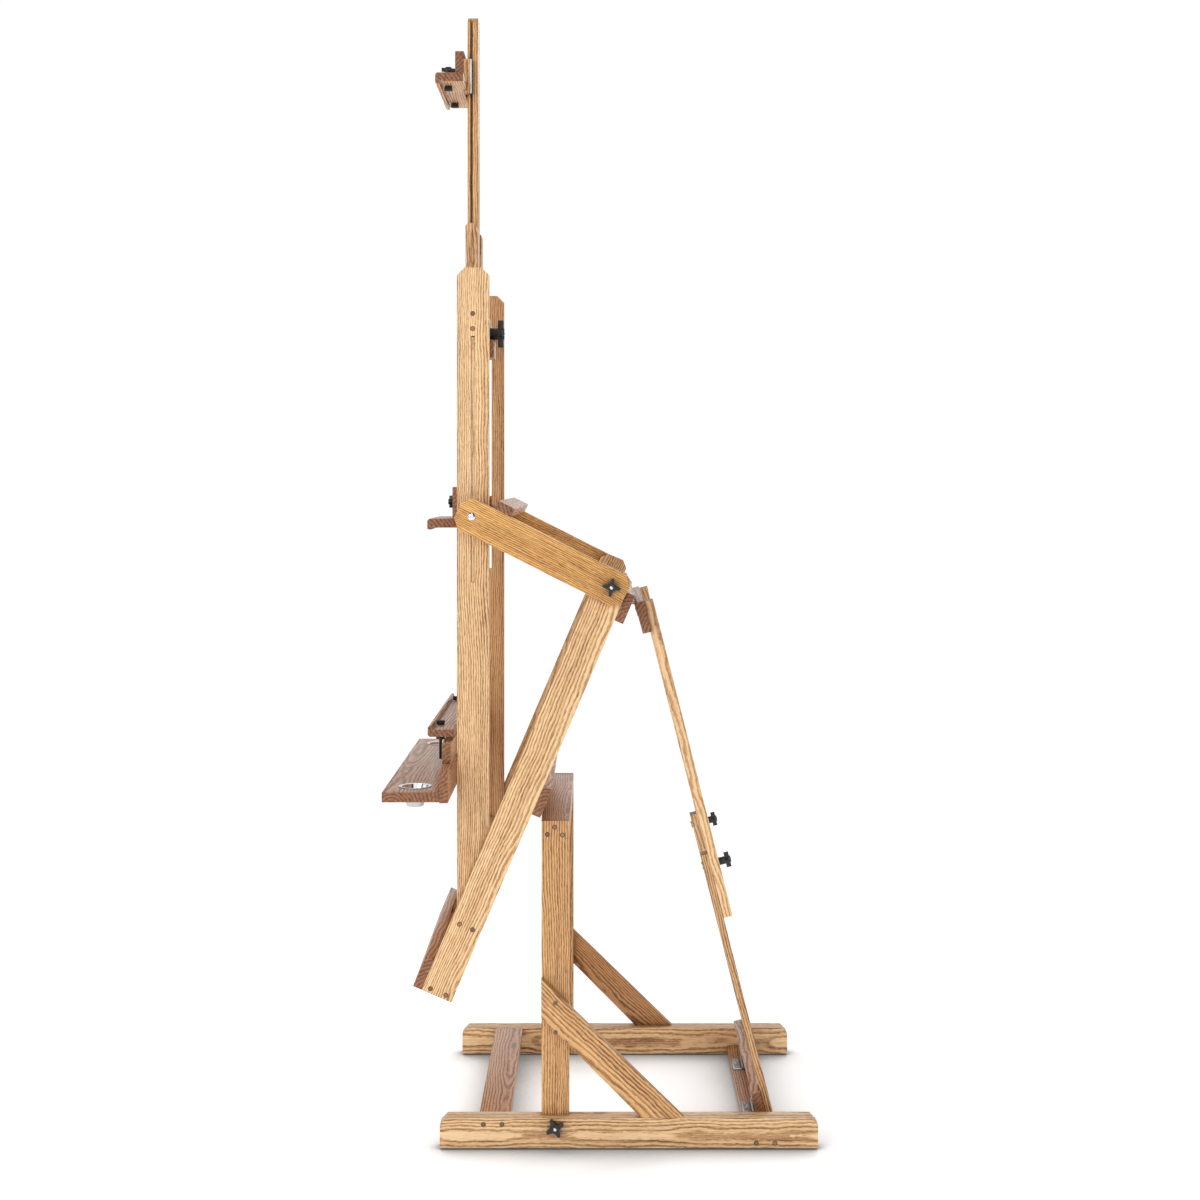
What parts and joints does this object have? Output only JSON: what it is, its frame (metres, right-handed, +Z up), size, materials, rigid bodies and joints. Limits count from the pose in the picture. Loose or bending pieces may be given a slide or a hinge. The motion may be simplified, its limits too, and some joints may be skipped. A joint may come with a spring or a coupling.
{
  "type": "studio easel",
  "caption": "Tall oak H-frame studio easel: floor base, tilting swing frame with telescoping prop, side arms, sliding mast, canvas holders, ledge and tray with cups.",
  "frame": {"origin": "on the floor, under the centre of the base", "axes": "+Z up, -Y towards the artist at the front, X across the width"},
  "size_m": [0.76, 0.884, 2.386],
  "materials": {
    "light_oak": "satin lacquer over straight-grained red oak",
    "dark_oak": "satin lacquer over flat-sawn red oak",
    "plug": "end-grain wood plugs, lacquered",
    "black_plastic": "moulded black plastic, fine matte texture",
    "rubber": "black rubber",
    "steel": "zinc-plated steel",
    "chrome": "bright chrome-plated bolts and cups"
  },
  "bodies": {
    "base": {"runners": "light_oak", "uprights": "light_oak", "braces": "light_oak", "front_cross_board": "light_oak", "rear_cross_board": "light_oak", "top_cross_rail": "dark_oak", "base_feet": "rubber", "base_plugs": "plug", "brace_screws": "steel", "base_bolts": "steel", "base_hinge_leaves": "steel", "base_hinge_pins": "steel"},
    "base_knob_l": {"base_knob_left": "black_plastic"},
    "base_knob_r": {"base_knob_right": "black_plastic"},
    "swing_frame": {"swing_members": "light_oak", "swing_foot_board": "dark_oak", "swing_rungs": "light_oak", "swing_middle_board": "dark_oak", "swing_top_board": "dark_oak", "swing_plugs": "plug", "swing_hinge_leaves": "steel", "swing_pivot_pins": "steel"},
    "lower_prop": {"prop_foot_rail": "dark_oak", "lower_prop_slats": "light_oak", "prop_foot_leaves": "steel", "prop_bolts": "chrome"},
    "upper_prop": {"prop_head_board": "dark_oak", "upper_prop_slats": "light_oak", "prop_head_leaves": "steel"},
    "prop_knob_l": {"prop_knob_left": "black_plastic"},
    "prop_knob_r": {"prop_knob_right": "black_plastic"},
    "easel_frame": {"frame_sides": "light_oak", "frame_top_rail": "light_oak", "frame_bottom_rail": "light_oak", "frame_stiles": "light_oak", "frame_plugs": "plug", "mast_clamp_block": "dark_oak"},
    "mast_screw": {"mast_knob": "black_plastic"},
    "slot_carriage": {"slot_bolts": "chrome"},
    "slot_knob_l": {"slot_knob_left": "black_plastic"},
    "slot_knob_r": {"slot_knob_right": "black_plastic"},
    "arm_pair": {"arms": "dark_oak", "arm_cross_bar": "dark_oak"},
    "arm_knob_l": {"arm_knob_left": "black_plastic"},
    "arm_knob_r": {"arm_knob_right": "black_plastic"},
    "lower_mast": {"mast_stage": "light_oak"},
    "top_mast": {"upper_mast": "light_oak"},
    "top_holder_body": {"top_holder": "dark_oak", "top_holder_tongues": "steel"},
    "top_pad_l": {"top_pad_left": "black_plastic"},
    "top_pad_r": {"top_pad_right": "black_plastic"},
    "middle_holder_body": {"middle_holder": "dark_oak", "middle_holder_tongues": "steel"},
    "middle_screw": {"middle_knob": "black_plastic"},
    "tray_carriage": {"ledge": "dark_oak", "tray": "dark_oak", "tray_slide": "light_oak"},
    "ledge_pad_l": {"ledge_pad_left": "black_plastic"},
    "ledge_pad_r": {"ledge_pad_right": "black_plastic"},
    "cup_pair": {"cups": "chrome"}
  },
  "joints": [
    {"name": "swing_tilt", "type": "hinge", "parent": "base", "child": "swing_frame", "pos_m": [0, -0.182, 0.672], "axis": [-1, 0, 0], "range_deg": [0, 60]},
    {"name": "prop_swing", "type": "hinge", "parent": "base", "child": "lower_prop", "pos_m": [0, 0.267, 0.028], "axis": [-1, 0, 0], "range_deg": [0, 15.6]},
    {"name": "prop_extend", "type": "slide", "parent": "lower_prop", "child": "upper_prop", "axis": [0, -0.2444, 0.9697], "range_m": [-0.41732, 0.002]},
    {"name": "frame_tilt", "type": "hinge", "parent": "swing_frame", "child": "easel_frame", "pos_m": [0, -0.31998, 0.48412], "axis": [-1, 0, 0], "range_deg": [0, 23.15]},
    {"name": "slot_slide", "type": "slide", "parent": "easel_frame", "child": "slot_carriage", "axis": [0, 0, 1], "range_m": [-0.002, 0.23502]},
    {"name": "arm_swing", "type": "hinge", "parent": "slot_carriage", "child": "arm_pair", "pos_m": [0, -0.31998, 1.2926], "axis": [-1, 0, 0], "range_deg": [-0.5, 63.68]},
    {"name": "lower_mast_slide", "type": "slide", "parent": "easel_frame", "child": "lower_mast", "axis": [0, 0, 1], "range_m": [-0.2, 0.3]},
    {"name": "top_mast_slide", "type": "slide", "parent": "lower_mast", "child": "top_mast", "axis": [0, 0, 1], "range_m": [-0.15, 0.3]},
    {"name": "top_holder_slide", "type": "slide", "parent": "top_mast", "child": "top_holder_body", "axis": [0, 0, 1], "range_m": [-0.12, 0.06]},
    {"name": "middle_holder_slide", "type": "slide", "parent": "easel_frame", "child": "middle_holder_body", "axis": [0, 0, 1], "range_m": [-0.12, 0.35]},
    {"name": "tray_slide_joint", "type": "slide", "parent": "easel_frame", "child": "tray_carriage", "axis": [0, 0, 1], "range_m": [-0.18, 0.25]},
    {"name": "cup_lift", "type": "slide", "parent": "tray_carriage", "child": "cup_pair", "axis": [0, 0, 1], "range_m": [0, 0.06]},
    {"name": "base_knob_left_turn", "type": "hinge", "parent": "base", "child": "base_knob_l", "pos_m": [-0.324, -0.1505, 0.047], "axis": [-1, 0, 0], "continuous": true},
    {"name": "base_knob_right_turn", "type": "hinge", "parent": "base", "child": "base_knob_r", "pos_m": [0.324, -0.1505, 0.047], "axis": [1, 0, 0], "continuous": true},
    {"name": "prop_knob_left_turn", "type": "hinge", "parent": "lower_prop", "child": "prop_knob_l", "pos_m": [-0.227, 0.19001, 0.5684], "axis": [0, 0.9697, 0.2444], "continuous": true},
    {"name": "prop_knob_right_turn", "type": "hinge", "parent": "lower_prop", "child": "prop_knob_r", "pos_m": [0.227, 0.19001, 0.5684], "axis": [0, 0.9697, 0.2444], "continuous": true},
    {"name": "mast_screw_turn", "type": "hinge", "parent": "easel_frame", "child": "mast_screw", "pos_m": [0, -0.31098, 1.691], "axis": [0, 1, 0], "continuous": true},
    {"name": "slot_knob_left_turn", "type": "hinge", "parent": "slot_carriage", "child": "slot_knob_l", "pos_m": [-0.28, -0.31998, 1.2926], "axis": [1, 0, 0], "continuous": true},
    {"name": "slot_knob_right_turn", "type": "hinge", "parent": "slot_carriage", "child": "slot_knob_r", "pos_m": [0.28, -0.31998, 1.2926], "axis": [-1, 0, 0], "continuous": true},
    {"name": "arm_knob_left_turn", "type": "hinge", "parent": "arm_pair", "child": "arm_knob_l", "pos_m": [-0.338, -0.03574, 1.1489], "axis": [-1, 0, 0], "continuous": true},
    {"name": "arm_knob_right_turn", "type": "hinge", "parent": "arm_pair", "child": "arm_knob_r", "pos_m": [0.338, -0.03574, 1.1489], "axis": [1, 0, 0], "continuous": true},
    {"name": "top_pad_left_turn", "type": "hinge", "parent": "top_holder_body", "child": "top_pad_l", "pos_m": [-0.089, -0.38808, 2.221], "axis": [0, 0, 1], "continuous": true},
    {"name": "top_pad_right_turn", "type": "hinge", "parent": "top_holder_body", "child": "top_pad_r", "pos_m": [0.089, -0.38808, 2.221], "axis": [0, 0, 1], "continuous": true},
    {"name": "middle_screw_turn", "type": "hinge", "parent": "middle_holder_body", "child": "middle_screw", "pos_m": [0, -0.37498, 1.319], "axis": [0, -1, 0], "continuous": true},
    {"name": "ledge_pad_left_turn", "type": "hinge", "parent": "tray_carriage", "child": "ledge_pad_l", "pos_m": [-0.213, -0.39398, 0.838], "axis": [0, 0, -1], "continuous": true},
    {"name": "ledge_pad_right_turn", "type": "hinge", "parent": "tray_carriage", "child": "ledge_pad_r", "pos_m": [0.213, -0.39398, 0.838], "axis": [0, 0, -1], "continuous": true}
  ],
  "couplings": [
    {"joint": "prop_swing", "follows": "swing_tilt", "ratio": 0.25171},
    {"joint": "prop_extend", "follows": "swing_tilt", "m_per_rad": -0.3966},
    {"joint": "slot_slide", "follows": "frame_tilt", "m_per_rad": 0.57671},
    {"joint": "arm_swing", "follows": "frame_tilt", "ratio": 2.7292}
  ]
}
